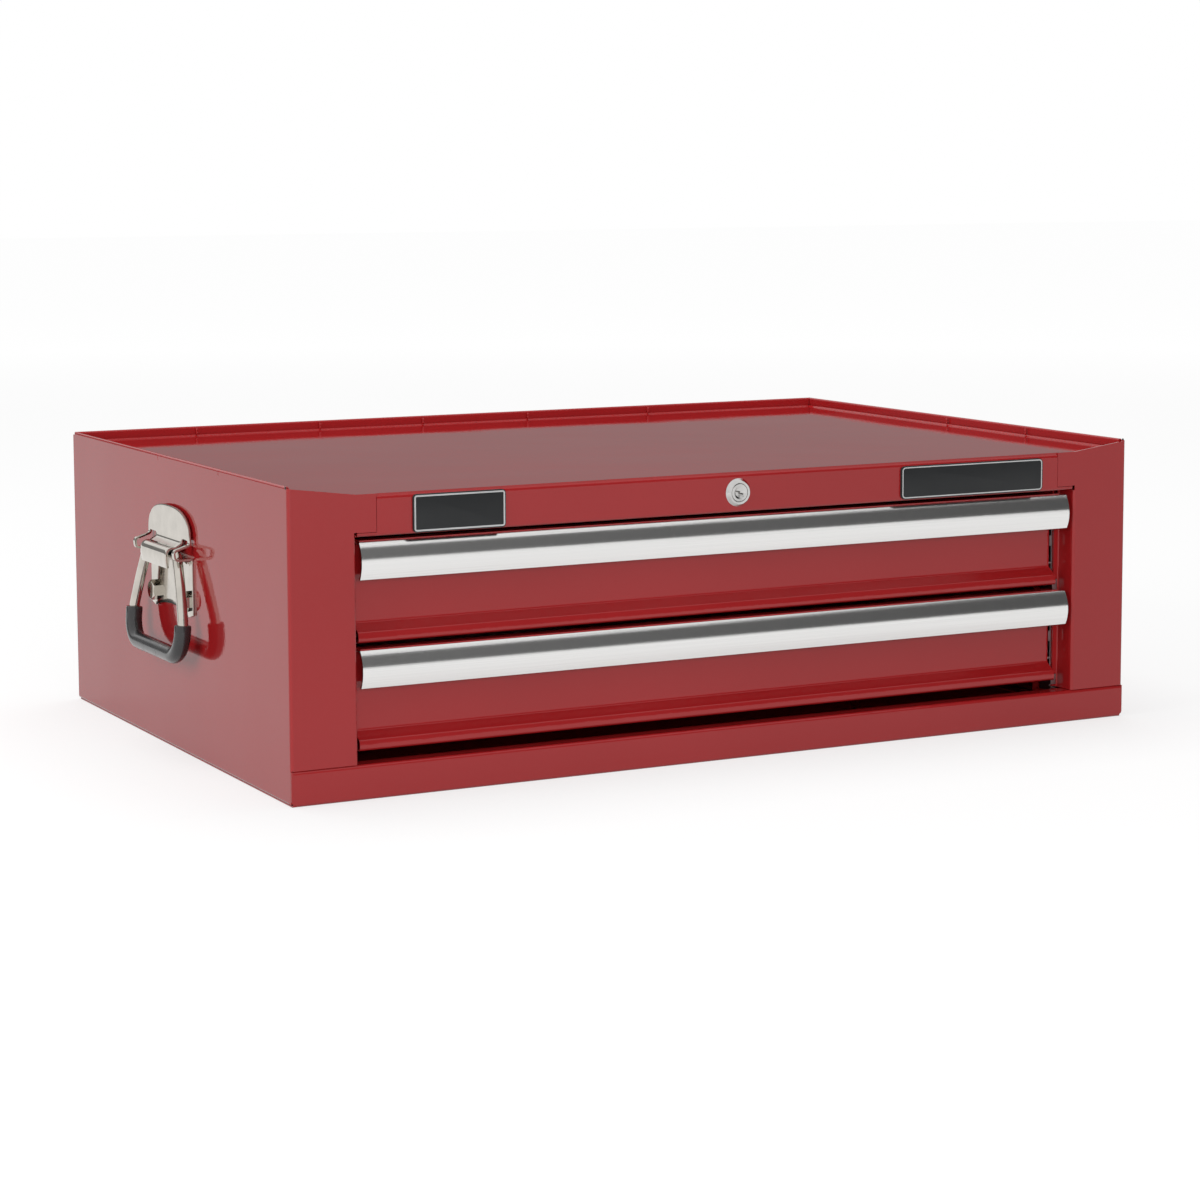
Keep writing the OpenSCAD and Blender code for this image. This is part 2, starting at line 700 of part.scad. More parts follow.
// Housing, fixed in the rail: a coned head with a flat ring round the core
module lock_housing() {
    bore = core_d / 2 + bore_run;
    head_r = lock_head_d / 2;
    ring = head_r - bore;
    color(chrome) turned_y(front_y - head_t, lock_z) rotate_extrude($fn = 96)
        polygon([
            [bore, 0.5], [bore + 0.15 * ring, 0], [bore + 0.42 * ring, 0], [bore + 0.52 * ring, 0.4],
            [head_r - 0.4, head_t - 0.8], [head_r, head_t - 0.3], [head_r, head_t],
            [barrel_d() / 2, head_t], [barrel_d() / 2, head_t + barrel_l], [bore, head_t + barrel_l]
        ]);
}

// Nut behind the rail
module lock_nut() {
    color(zinc) difference() {
        turned_y(front_y + sheet + hug, lock_z) cylinder(h = nut_t, d = barrel_d() + 6, $fn = 6);
        turned_y(front_y, lock_z) cylinder(h = 4 * nut_t, d = barrel_d() + 2 * sleeve_fit, $fn = 96);
    }
}

// Turning core with a dished face, its keyhole and the socket for the rod
module lock_core() {
    r = core_d / 2;
    color(chrome) difference() {
        turned_y(front_y - head_t, lock_z) rotate_extrude($fn = 96)
            polygon([
                [0, 1.6], [0.48 * r, 1.3], [0.7 * r, 0.5], [r - 0.4, 0.4], [r, 0.8],
                [r, head_t + barrel_l + core_tail], [0, head_t + barrel_l + core_tail]
            ]);
        translate([0, 0, lock_z]) rotate([0, key_tilt, 0]) for (a = [0, 180]) rotate([0, a, 0])
            block([-key_slot[0], front_y - head_t - 1, 0], [key_slot[2], front_y + key_depth, key_slot[1]]);
        turned_y(front_y + barrel_l + core_tail - rod_seat, lock_z)
            cylinder(h = 2 * rod_seat, d = rod_d, $fn = 48);
    }
}

// Rod from the core back to the crank
module lock_rod() {
    y0 = front_y + barrel_l + core_tail - rod_seat;
    color(zinc) turned_y(y0, lock_z) cylinder(h = crank_y0 + crank_t - y0, d = rod_d, $fn = 48);
}

// Crank on the rod's end, with a pin in the locking bar's slot
module lock_crank() {
    pin_x = crank_r * cos(45);
    hub = rod_d + 5;
    arm = crank_pin_d + 3;
    color(zinc) {
        difference() {
            along_y(crank_y0, crank_y0 + crank_t) union() {
                translate([0, lock_z]) circle(d = hub, $fn = 48);
                translate([pin_x, pin_z]) circle(d = arm, $fn = 48);
                translate([0, lock_z]) rotate(-45) translate([0, -arm / 2]) square([crank_r, arm]);
            }
            turned_y(crank_y0 - 1, lock_z) cylinder(h = crank_t + 2, d = rod_d, $fn = 48);
        }
        translate([pin_x, 0, 0]) turned_y(crank_y0 + crank_t, pin_z)
            cylinder(h = bar_y1 - 0.2 - crank_y0 - crank_t, d = crank_pin_d, $fn = 48);
    }
}

// Bracket under the top panel, which carries the rod
module rod_bracket() {
    y0 = crank_y0 - 14;
    mid = catch_t / 2;
    under = panel_z - sheet;
    color(zinc) difference() {
        along_x(-11, 11)
            folded(
                [[y0 - 14, under - mid], [y0, under - mid], [y0, lock_z - rod_d - 3]],
                catch_t, [catch_t]);
        turned_y(y0 - 3, lock_z) cylinder(h = 6, d = rod_d + 2 * bore_run, $fn = 48);
    }
}

// Locking bar with a hook for each drawer
module lock_bar() {
    slot_x0 = crank_r * cos(45) - crank_pin_d / 2 - crank_slack;
    slot_x1 = crank_r + crank_pin_d / 2 + crank_slack;
    slot_r = crank_pin_d / 2 + crank_slack;
    mid = bar_t / 2;
    color(zinc) {
        difference() {
            block([bar_x - bar_w / 2, bar_y0, bar_bottom], [bar_x + bar_w / 2, bar_y1, bar_top]);
            along_y(bar_y0 - 1, bar_y1 + 1) union() {
                translate([slot_x0, pin_z - slot_r]) square([slot_x1 - slot_x0, 2 * slot_r]);
            }
        }
        for (level = [0, 1]) {
            tooth_top = front_z(level) + tooth_zc;
            along_x(bar_x - hook_w / 2, bar_x + hook_w / 2)
                folded(
                    [[bar_y0 + mid, tooth_top - tooth_h - 6], [bar_y0 - mid, tooth_top - tooth_h - 6],
                     [bar_y0 - mid, tooth_top - tooth_h], [tooth_y, tooth_top - tooth_h],
                     [tooth_y, tooth_top]],
                    bar_t, same(bar_t / 2 + 0.1, 3));
        }
    }
}

// Straps riveted to the back panel, which hold the bar against it
module lock_bar_guides() {
    inner = bar_w / 2 + run;
    strap_y = bar_y0 - run - guide_t / 2;
    foot_y = back_y - sheet - guide_t / 2;
    color(zinc) for (level = [0, 1]) {
        z0 = front_z(level) + tooth_zc + bar_travel + 6;
        along_z(z0, z0 + guide_h) translate([bar_x, 0])
            folded(
                [[-inner - 12, foot_y], [-inner - guide_t / 2, foot_y], [-inner - guide_t / 2, strap_y],
                 [inner + guide_t / 2, strap_y], [inner + guide_t / 2, foot_y], [inner + 12, foot_y]],
                guide_t, same(guide_t / 2 + 0.05, 4));
        for (x = [-inner - 7.5, inner + 7.5])
            turned_y(foot_y - guide_t / 2, z0 + guide_h / 2)
                translate([bar_x + x, 0, -1.4]) cylinder(h = 1.5, d = 5, $fn = 32);
    }
}

// --- Drop handles, drawn with the distance from the side wall along x and y along the wall ---

module handle_frame(right) on_side(right) translate([-half_w, handle_y, 0]) mirror([1, 0, 0]) children();

// Bracket pressed from one sheet: tab, ridge over the pivot, return and bolted plate
module handle_bracket(right) {
    half = bracket_w / 2;
    top = tab_base_z + tab_rise;
    bottom = pivot_z - plate_drop;
    mid = bracket_t / 2;
    nose_x = pivot_out + nose_r + mid;
    hem_z = pivot_z - band_drop + bracket_t;
    color(chrome) handle_frame(right) difference() {
        union() {
            along_y(-half, half) folded(
                [[tab_out, top], [tab_out, tab_base_z], [ridge_corner, return_z],
                 [mid, return_z], [mid, bottom]],
                bracket_t, [bracket_t, nose_r, bracket_t]);
            // Between the slots the sheet hangs down from the ridge and folds back up on itself
            along_y(-band_half, band_half) {
                translate([nose_x - bracket_t, hem_z]) square([bracket_t, pivot_z - hem_z]);
                translate([nose_x - 2 * bracket_t, hem_z]) square([bracket_t, return_z + mid - hem_z]);
                translate([nose_x - bracket_t, hem_z]) circle(r = bracket_t, $fn = 32);
            }
        }
        // Slots for the bail's legs, whose inner ends stop the bail hanging and standing up
        for (side = [-1, 1]) mirror([0, side < 0 ? 1 : 0, 0])
            block([leg_stop, band_half, return_z - bracket_t],
                  [pivot_out + 3 * nose_r, slot_end, tab_base_z]);
        // Domed tab
        along_x(0, 2 * tab_out) difference() {
            translate([-half - 1, tab_base_z]) square([2 * half + 2, tab_rise + 1]);
            polygon([for (a = [0:6:180]) [half * cos(a), tab_base_z + tab_rise * sin(a)]]);
        }
        // Arched lower edge and rounded lower corners
        along_x(-1, 2 * bracket_t)
            polygon(concat(
                [[-half + plate_corner, bottom - 1]],
                [for (a = [-1:1 / 6:1.01]) [(half - arch_in) * a, bottom + arch_rise * (1 - a * a)]],
                [[half - plate_corner, bottom - 1]]
            ));
        for (y = [-bolt_y, bolt_y])
            translate([-1, y, bolt_z])
                rotate([0, 90, 0]) cylinder(h = 4 * bracket_t, d = bolt_d + 2 * bolt_slack, $fn = 48);
    }
}

module at_bolts() {
    for (y = [-bolt_y, bolt_y]) translate([0, y, bolt_z]) rotate([0, 90, 0]) children();
}

// Hexagon bolts through plate and wall
module handle_bolts(right) {
    across = bolt_af / cos(30);
    shank = bracket_t + sheet + nut_h + bolt_end;
    color(chrome) handle_frame(right) at_bolts() {
        translate([0, 0, bracket_t]) intersection() {
            cylinder(h = bolt_head, d = across, $fn = 6);
            union() {
                cylinder(h = bolt_head - 1, d = across + 1, $fn = 48);
                translate([0, 0, bolt_head - 1]) cylinder(h = 1, d1 = across, d2 = bolt_af - 0.6, $fn = 48);
            }
        }
        translate([0, 0, bracket_t - shank]) cylinder(h = shank, d = bolt_d, $fn = 48);
    }
}

// Nuts inside the wall
module handle_nuts(right) {
    color(zinc) handle_frame(right) at_bolts() translate([0, 0, -sheet - nut_h]) difference() {
        cylinder(h = nut_h, d = bolt_af / cos(30), $fn = 6);
        translate([0, 0, -1]) cylinder(h = nut_h + 2, d = bolt_d + 2 * sleeve_fit, $fn = 48);
    }
}

// The bail's plane, leaning out from the pivot: its path is drawn in y and z
module bail_frame(right) {
    handle_frame(right) translate([pivot_out, 0, pivot_z]) rotate([0, -bail_lean, 0])
        rotate([90, 0, 90]) children();
}

function mirrored(p) = [-p[0], p[1]];

bail_path = [
    [0.4, -bail_drop], bail_foot, knee, elbow, [bail_top, 0],
    [-bail_top, 0], mirrored(elbow), mirrored(knee), mirrored(bail_foot), [-0.4, -bail_drop]
];
bail_radii = [bail_corner, knee_r, 4 * knee_r, 5, 5, 4 * knee_r, knee_r, bail_corner];

// Bail bent from round wire
module bail(right) color(chrome) bail_frame(right) bent_rod(bail_path, bail_radii, wire_d);

// Sleeve over the bail's lower bar
module grip(right) {
    path = [[bail_half, grip_start], bail_foot, mirrored(bail_foot), [-bail_half, grip_start]];
    color(black) bail_frame(right) difference() {
        bent_rod(path, same(bail_corner, 2), grip_d);
        bent_rod(path, same(bail_corner, 2), wire_d + 2 * sleeve_fit);
    }
}

side_panel(false);  // left_side
side_panel(true);  // right_side
back_panel();
top_panel();
base_pan();
front_upright(false);  // front_upright_left
front_upright(true);  // front_upright_right
rear_upright(false);  // rear_upright_left
rear_upright(true);  // rear_upright_right
slide_outer(0, false);  // lower_slide_outer_left
slide_outer(0, true);  // lower_slide_outer_right
slide_outer(1, false);  // upper_slide_outer_left
slide_outer(1, true);  // upper_slide_outer_right
slide_cage(0, false);  // lower_slide_cage_left
slide_cage(0, true);  // lower_slide_cage_right
slide_cage(1, false);  // upper_slide_cage_left
slide_cage(1, true);  // upper_slide_cage_right
slide_balls(0, false);  // lower_slide_balls_left
slide_balls(0, true);  // lower_slide_balls_right
slide_balls(1, false);  // upper_slide_balls_left
slide_balls(1, true);  // upper_slide_balls_right
slide_inner(0, false);  // lower_slide_inner_left
slide_inner(0, true);  // lower_slide_inner_right
slide_inner(1, false);  // upper_slide_inner_left
slide_inner(1, true);  // upper_slide_inner_right
drawer_front(0);  // lower_drawer_front
drawer_tray(0);  // lower_drawer_tray
drawer_pull(0);  // lower_drawer_pull
drawer_catch(0);  // lower_drawer_catch
drawer_front(1);  // upper_drawer_front
drawer_tray(1);  // upper_drawer_tray
drawer_pull(1);  // upper_drawer_pull
drawer_catch(1);  // upper_drawer_catch
lock_housing();
lock_nut();
lock_core();
lock_rod();
lock_crank();
rod_bracket();
lock_bar();
lock_bar_guides();
handle_bracket(false);  // left_handle_bracket
handle_bolts(false);  // left_handle_bolts
handle_nuts(false);  // left_handle_nuts
bail(false);  // left_bail
grip(false);  // left_grip
handle_bracket(true);  // right_handle_bracket
handle_bolts(true);  // right_handle_bolts
handle_nuts(true);  // right_handle_nuts
bail(true);  // right_bail
grip(true);  // right_grip
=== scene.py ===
# Looks of a two-drawer tool chest in a plain pale studio: enamelled sheet steel, bright pulls,
# chrome handles. Lengths are in metres, or in millimetres where they are multiplied by MM.
import json
import math

import bmesh
import bpy
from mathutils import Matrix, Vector


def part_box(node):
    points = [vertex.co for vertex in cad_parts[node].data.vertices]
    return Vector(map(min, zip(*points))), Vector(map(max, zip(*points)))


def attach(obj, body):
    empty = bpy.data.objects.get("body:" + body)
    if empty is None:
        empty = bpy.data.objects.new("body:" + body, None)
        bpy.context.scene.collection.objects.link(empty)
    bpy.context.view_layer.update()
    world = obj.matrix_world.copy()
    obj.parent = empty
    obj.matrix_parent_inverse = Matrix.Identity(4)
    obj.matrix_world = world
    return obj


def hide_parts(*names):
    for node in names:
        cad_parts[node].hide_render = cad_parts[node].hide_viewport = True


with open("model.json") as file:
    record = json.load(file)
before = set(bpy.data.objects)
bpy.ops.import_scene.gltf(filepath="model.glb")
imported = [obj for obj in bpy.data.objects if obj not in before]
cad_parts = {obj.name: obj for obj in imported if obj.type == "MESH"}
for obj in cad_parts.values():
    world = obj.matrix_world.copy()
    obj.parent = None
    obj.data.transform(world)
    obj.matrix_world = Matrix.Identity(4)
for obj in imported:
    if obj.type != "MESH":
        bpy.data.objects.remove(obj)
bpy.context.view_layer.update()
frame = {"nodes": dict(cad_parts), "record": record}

MM = 0.001


# --- Places worked out from the frame ---

def node_box(name):
    low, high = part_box(name)
    return Vector(low), Vector(high)


case_low, case_high = node_box("left_side")
HALF_WIDTH = -case_low.x
FRONT_Y = case_low.y
BACK_Y = case_high.y
RIM_TOP = case_high.z


# --- Materials ---

def map_range(tree, value, start, stop, low, high):
    """A value from start to stop turned into one from low to high, and held there outside."""
    node = tree.nodes.new("ShaderNodeMapRange")
    node.inputs["From Min"].default_value = start
    node.inputs["From Max"].default_value = stop
    node.inputs["To Min"].default_value = low
    node.inputs["To Max"].default_value = high
    tree.links.new(value, node.inputs["Value"])
    return node.outputs["Result"]


class Shader:
    """A material with one Principled shader, and short calls for its nodes."""

    def __init__(self, name, color, metallic=0.0, roughness=0.4):
        self.material = bpy.data.materials.new(name)
        self.material.use_nodes = True
        self.tree = self.material.node_tree
        self.bsdf = self.tree.nodes["Principled BSDF"]
        self.bsdf.inputs["Base Color"].default_value = (*color, 1.0)
        self.bsdf.inputs["Metallic"].default_value = metallic
        self.bsdf.inputs["Roughness"].default_value = roughness
        self.place = self.tree.nodes.new("ShaderNodeTexCoord").outputs["Object"]

    def link(self, source, target):
        self.tree.links.new(source, target)

    def stretched(self, scale):
        mapping = self.tree.nodes.new("ShaderNodeMapping")
        mapping.inputs["Scale"].default_value = scale
        self.link(self.place, mapping.inputs["Vector"])
        return mapping.outputs["Vector"]

    def noise(self, scale, detail=3.0, stretch=(1, 1, 1)):
        node = self.tree.nodes.new("ShaderNodeTexNoise")
        node.inputs["Scale"].default_value = scale
        node.inputs["Detail"].default_value = detail
        self.link(self.stretched(stretch), node.inputs["Vector"])
        return node.outputs["Fac"]

    def spread(self, noise, low, high):
        """The middle of a noise, where most of it lies, spread from low to high."""
        return map_range(self.tree, noise, 0.3, 0.7, low, high)

    def mixed(self, factor, first, second):
        node = self.tree.nodes.new("ShaderNodeMix")
        node.data_type = "RGBA"
        self.link(factor, node.inputs["Factor"])
        node.inputs["A"].default_value = (*first, 1.0)
        node.inputs["B"].default_value = (*second, 1.0)
        return node.outputs["Result"]

    def bump(self, *layers):
        normal = None
        for height, strength, distance in layers:
            node = self.tree.nodes.new("ShaderNodeBump")
            node.inputs["Strength"].default_value = strength
            node.inputs["Distance"].default_value = distance
            self.link(height, node.inputs["Height"])
            if normal is not None:
                self.link(normal, node.inputs["Normal"])
            normal = node.outputs["Normal"]
        self.link(normal, self.bsdf.inputs["Normal"])


def enamel(name, color, deep):
    """Baked glossy enamel: faint orange peel, slow waviness of the sheet, a few duller patches."""
    shader = Shader(name, color)
    shader.bsdf.inputs["IOR"].default_value = 1.5
    shader.bsdf.inputs["Specular IOR Level"].default_value = 0.43
    cloud = shader.spread(shader.noise(5.0, 3.0), 0.0, 1.0)
    shader.link(shader.mixed(cloud, color, deep), shader.bsdf.inputs["Base Color"])
    patches = shader.noise(34.0, 4.0)
    shader.link(shader.spread(patches, 0.02, 0.05), shader.bsdf.inputs["Roughness"])
    peel = shader.noise(420.0, 2.0)
    waves = shader.noise(9.0, 1.0)
    shader.bump((peel, 0.03, 0.001), (waves, 0.05, 0.01))
    return shader.material


def drawn_metal(name, color, roughness):
    """Aluminium drawn and polished along X: fine lines that run along it."""
    shader = Shader(name, color, metallic=1.0)
    lines = shader.noise(1.0, 3.0, stretch=(4, 2600, 2600))
    fine = shader.noise(1.0, 2.0, stretch=(10, 6500, 6500))
    rough = shader.spread(lines, roughness * 0.8, roughness * 1.25)
    shader.link(rough, shader.bsdf.inputs["Roughness"])
    shade = tuple(channel * 0.93 for channel in color)
    tint = shader.mixed(shader.spread(lines, 0.0, 1.0), color, shade)
    shader.link(tint, shader.bsdf.inputs["Base Color"])
    shader.bump((fine, 0.03, 0.0005))
    return shader.material


def plated(name, color, roughness, scale=60.0, spread=0.06, peel=0.02):
    """Plated steel or die casting: bright, with a few cloudy patches and fine unevenness."""
    shader = Shader(name, color, metallic=1.0)
    cloud = shader.noise(scale, 4.0)
    rough = shader.spread(cloud, roughness, roughness + spread)
    shader.link(rough, shader.bsdf.inputs["Roughness"])
    dull = tuple(channel * 0.86 for channel in color)
    tint = shader.mixed(shader.spread(cloud, 0.0, 1.0), color, dull)
    shader.link(tint, shader.bsdf.inputs["Base Color"])
    shader.bump((shader.noise(scale * 9, 2.0), peel, 0.0006))
    return shader.material


def vinyl(name, color):
    """Dipped vinyl: glossy and slightly uneven."""
    shader = Shader(name, color, roughness=0.2)
    shader.bsdf.inputs["Coat Weight"].default_value = 0.3
    shader.bsdf.inputs["Coat Roughness"].default_value = 0.1
    shader.link(shader.spread(shader.noise(140.0), 0.16, 0.3), shader.bsdf.inputs["Roughness"])
    grey = tuple(channel + 0.012 for channel in color)
    shader.link(shader.mixed(shader.noise(60.0), color, grey), shader.bsdf.inputs["Base Color"])
    shader.bump((shader.noise(260.0, 2.0), 0.08, 0.0006))
    return shader.material


def plate_black(name, color):
    """Satin black lacquer on the plates."""
    shader = Shader(name, color, roughness=0.35)
    shader.bsdf.inputs["Specular IOR Level"].default_value = 0.22
    shader.link(shader.spread(shader.noise(90.0), 0.3, 0.42), shader.bsdf.inputs["Roughness"])
    grey = tuple(channel * 1.25 for channel in color)
    shader.link(shader.mixed(shader.noise(30.0), color, grey), shader.bsdf.inputs["Base Color"])
    shader.bump((shader.noise(700.0, 2.0), 0.05, 0.0004))
    return shader.material


MATERIALS = {
    "red_enamel": enamel("red_enamel", (0.355, 0.0145, 0.0165), (0.325, 0.012, 0.0135)),
    "zinc_plate": plated("zinc_plate", (0.56, 0.57, 0.58), 0.34, spread=0.12),
    "ball_steel": plated("ball_steel", (0.62, 0.62, 0.63), 0.12),
    "pull_aluminium": drawn_metal("pull_aluminium", (0.8, 0.795, 0.785), 0.15),
    "lock_chrome": plated("lock_chrome", (0.6, 0.59, 0.58), 0.08, scale=220.0, peel=0.08),
    "handle_chrome": plated("handle_chrome", (0.6, 0.565, 0.51), 0.06, scale=90.0, spread=0.04),
    "grip_vinyl": vinyl("grip_vinyl", (0.012, 0.012, 0.013)),
}
# Black lacquer of the plates; also the painted shade of the corner holes
PLATE_AND_SHADE_BLACK = plate_black("plate_black", (0.021, 0.022, 0.023))
BORDER = plated("plate_border", (0.66, 0.67, 0.67), 0.4)
slot_of = {part["node"]: part["material_slot"] for part in frame["record"]["subparts"]}
for node, obj in frame["nodes"].items():
    for slot in obj.material_slots:
        slot.material = MATERIALS[slot_of[node]]


# --- Meshes made here ---

SHARP_ANGLE = 0.6


def finish_mesh(name, mesh, material, body):
    mesh.shade_smooth()
    mesh.set_sharp_from_angle(angle=SHARP_ANGLE)
    obj = bpy.data.objects.new(name, mesh)
    obj.data.materials.append(material)
    bpy.context.scene.collection.objects.link(obj)
    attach(obj, body)
    return obj


def rounded_outline(width, height, radius, steps=6):
    """Points of a rounded rectangle in X and Z, centred on the origin."""
    points = []
    for quarter, (sx, sz) in enumerate(((1, 1), (-1, 1), (-1, -1), (1, -1))):
        centre = Vector((sx * (width / 2 - radius), 0, sz * (height / 2 - radius)))
        for step in range(steps + 1):
            angle = math.radians(90 * (quarter + step / steps))
            points.append(centre + radius * Vector((math.cos(angle), 0, math.sin(angle))))
    return points


def skinned(name, loops, material, body, ring=False):
    """A skin over outlines of equal count, closed at both ends, or end to end where ring is set."""
    bm = bmesh.new()
    rows = [[bm.verts.new(point) for point in loop] for loop in loops]
    pairs = list(zip(rows, rows[1:])) + ([(rows[-1], rows[0])] if ring else [])
    for lower, upper in pairs:
        count = len(lower)
        for i in range(count):
            bm.faces.new((lower[i], lower[(i + 1) % count], upper[(i + 1) % count], upper[i]))
    if not ring:
        bm.faces.new(list(reversed(rows[0])))
        bm.faces.new(rows[-1])
    bmesh.ops.recalc_face_normals(bm, faces=bm.faces)
    mesh = bpy.data.meshes.new(name)
    bm.to_mesh(mesh)
    bm.free()
    return finish_mesh(name, mesh, material, body)


# --- Paths, sheets and tubes ---

def filleted(corners, radii, closed=False, step=9.0):
    """Points of a path in a plane, with an arc of its own radius at each inner corner."""
    count = len(corners)
    corners = [Vector((*corner, 0)) for corner in corners]
    points = [] if closed else [corners[0]]
    inner = range(count) if closed else range(1, count - 1)
    for i, radius in zip(inner, radii):
        corner = corners[i]
        back = (corners[i - 1] - corner).normalized()
        on = (corners[(i + 1) % count] - corner).normalized()
        half = back.angle(on) / 2
        centre = corner + (back + on).normalized() * radius / math.sin(half)
        first = corner + back * radius / math.tan(half) - centre
        turn = math.copysign(math.pi - 2 * half, back.cross(on).z * -1)
        steps = max(2, math.ceil(abs(math.degrees(turn)) / step))
        for k in range(steps + 1):
            angle = turn * k / steps
            points.append(centre + Vector((
                first.x * math.cos(angle) - first.y * math.sin(angle),
                first.x * math.sin(angle) + first.y * math.cos(angle), 0)))
    if not closed:
        points.append(corners[-1])
    return points


def normals_along(points, closed=False):
    """Normals of a path in its plane, to the right of its run. Points in one place share theirs."""
    count = len(points)

    def other(i, step):
        at = i + step
        while closed or 0 <= at < count:
            if (points[at % count] - points[i]).length > 1e-6:
                return points[at % count]
            at += step
        return points[i]

    normals = []
    for i in range(count):
        run = (other(i, 1) - other(i, -1)).normalized()
        normals.append(Vector((run.y, -run.x, 0)))
    return normals


def tube_loops(points, radii, place, closed=False, sides=20):
    """Circles round a path, each with its radius. place(a, b, c) puts them in space: a and b in the
    path's plane, c out of it."""
    loops = []
    for point, normal, radius in zip(points, normals_along(points, closed), radii):
        loop = []
        for k in range(sides):
            angle = 2 * math.pi * k / sides
            at = point + normal * radius * math.cos(angle)
            loop.append(place(at.x, at.y, radius * math.sin(angle)))
        loops.append(loop)
    return loops


def grid_strip(bm, columns, path, place):
    """Faces over columns of points; path(y) gives a column's points (out, z)."""
    rows = [[bm.verts.new(place(out, y, z)) for out, z in path(y)] for y in columns]
    for left, right in zip(rows, rows[1:]):
        for i in range(len(left) - 1):
            bm.faces.new((left[i], left[i + 1], right[i + 1], right[i]))


def thickened(name, bm, thickness, edge, material, body):
    """A sheet of even thickness, with small rounds on its edges, from its middle surface."""
    bmesh.ops.remove_doubles(bm, verts=bm.verts, dist=0.02 * MM)
    bmesh.ops.recalc_face_normals(bm, faces=bm.faces)
    mesh = bpy.data.meshes.new(name + "_middle")
    bm.to_mesh(mesh)
    bm.free()
    draft = bpy.data.objects.new(name + "_middle", mesh)
    bpy.context.scene.collection.objects.link(draft)
    solid = draft.modifiers.new("solid", "SOLIDIFY")
    solid.thickness = thickness
    solid.offset = 0
    solid.use_even_offset = True
    bevel = draft.modifiers.new("bevel", "BEVEL")
    bevel.width = edge
    bevel.segments = 2
    bevel.angle_limit = math.radians(50)
    bpy.context.view_layer.update()
    shaped = draft.evaluated_get(bpy.context.evaluated_depsgraph_get())
    final = bpy.data.meshes.new_from_object(shaped)
    final.name = name
    bpy.data.objects.remove(draft)
    bpy.data.meshes.remove(mesh)
    return finish_mesh(name, final, material, body)


# --- Drop handles: bracket, bail and grip ---

HANDLE_Y = -3 * MM
PIVOT_Z = 145.5 * MM
# In mm: y from the handle's middle, out from the wall, z from the pivot
PIVOT_OUT = 8.2
BRACKET_HALF = 43.5
BAND_HALF = 27.0
EAR_IN = 40.0
SHEET = 1.6
TAB_BASE = 11.5
TAB_RISE = 21.8
TAB_OUT = 2.6
PLATE_OUT = 0.8
PLATE_TOP = -4.2
PLATE_JOIN = PLATE_TOP - 3
PLATE_END = -44.0
HOLLOW_HALF = 35.5
HOLLOW_RISE = 5.5
CORNER_RISE = 2.5
LEG_TOP = 31.5
BAIL_HALF = 52.5
BAIL_DROP = 70.0
BAIL_LEAN = math.radians(4.9)
WIRE_R = 3.75
GRIP_R = 6.0
GRIP_START = -46.6
GRIP_BEND = 17
WIRE_HALF = [(LEG_TOP, 0), (43.0, -22.5), (BAIL_HALF, -45.5), (BAIL_HALF, -BAIL_DROP)]
WIRE_BENDS = [5, 56, 14, GRIP_BEND]
GRIP_RIM = [(0, WIRE_R), (0, GRIP_R - 0.9), (0.25, GRIP_R - 0.35), (0.9, GRIP_R)]
EAR_COLUMNS = [EAR_IN, 40.8, 41.5, 42.2, 42.8, 43.3, BRACKET_HALF]
SLOT_COLUMNS = [BAND_HALF, 31.0, 35.0]


def spaced(first, last, count):
    return [first + (last - first) * i / (count - 1) for i in range(count)]


def flat_path(corners, radii):
    return [(point.x, point.y) for point in filleted(corners, radii)]


# Sections of the bracket's sheet, as (out, z)
BAND_PATH = flat_path(
    [(TAB_OUT, TAB_BASE), (TAB_OUT, 8.1), (7.9, 5.1), (14.0, 4.9), (14.8, -3.0), (13.6, -8.8)],
    [3.0, 1.0, 4.2, 12.0])
EAR_PATH = flat_path(
    [(TAB_OUT, TAB_BASE), (TAB_OUT, 8.8), (14.7, 4.9), (13.9, -1.6), (PLATE_OUT, -1.6),
     (PLATE_OUT, PLATE_TOP)],
    [2.4, 2.7, 2.6, 1.4])
EAR_PATH.append((PLATE_OUT, PLATE_JOIN))
RETURN_PATH = flat_path(
    [(3.8, PLATE_TOP), (PLATE_OUT + 0.2, PLATE_TOP), (PLATE_OUT, PLATE_JOIN)], [1.2])


def tab_path(y):
    share = max(0.0, 1 - abs(y / BRACKET_HALF) ** 2.5) ** 0.4
    return [(TAB_OUT, TAB_BASE + TAB_RISE * share * step / 8) for step in range(8, -1, -1)]


def plate_path(y):
    if abs(y) < HOLLOW_HALF:
        end = PLATE_END + HOLLOW_RISE * (1 - (y / HOLLOW_HALF) ** 2)
    else:
        end = PLATE_END + CORNER_RISE * (abs(y) - HOLLOW_HALF) / (BRACKET_HALF - HOLLOW_HALF)
    return [(PLATE_OUT, PLATE_JOIN + (end - PLATE_JOIN) * step / 6) for step in range(7)]


def make_bracket(name, at_wall):
    """The sheet, in columns that lie closer at the ears, where the tab's dome falls away."""
    right = spaced(0, BAND_HALF, 8)[:-1] + SLOT_COLUMNS + EAR_COLUMNS
    across = [-y for y in reversed(right)] + right[1:]
    bm = bmesh.new()
    grid_strip(bm, across, tab_path, at_wall)
    grid_strip(bm, across, plate_path, at_wall)
    band = [y for y in across if abs(y) <= BAND_HALF + 0.01]
    grid_strip(bm, band, lambda y: BAND_PATH, at_wall)
    between_ears = [y for y in across if abs(y) <= EAR_IN + 0.01]
    grid_strip(bm, between_ears, lambda y: RETURN_PATH, at_wall)
    for sign in (-1, 1):
        grid_strip(bm, [sign * y for y in EAR_COLUMNS], lambda y: EAR_PATH, at_wall)
    chrome = MATERIALS["handle_chrome"]
    return thickened(name, bm, SHEET * MM, 0.35 * MM, chrome, "case")


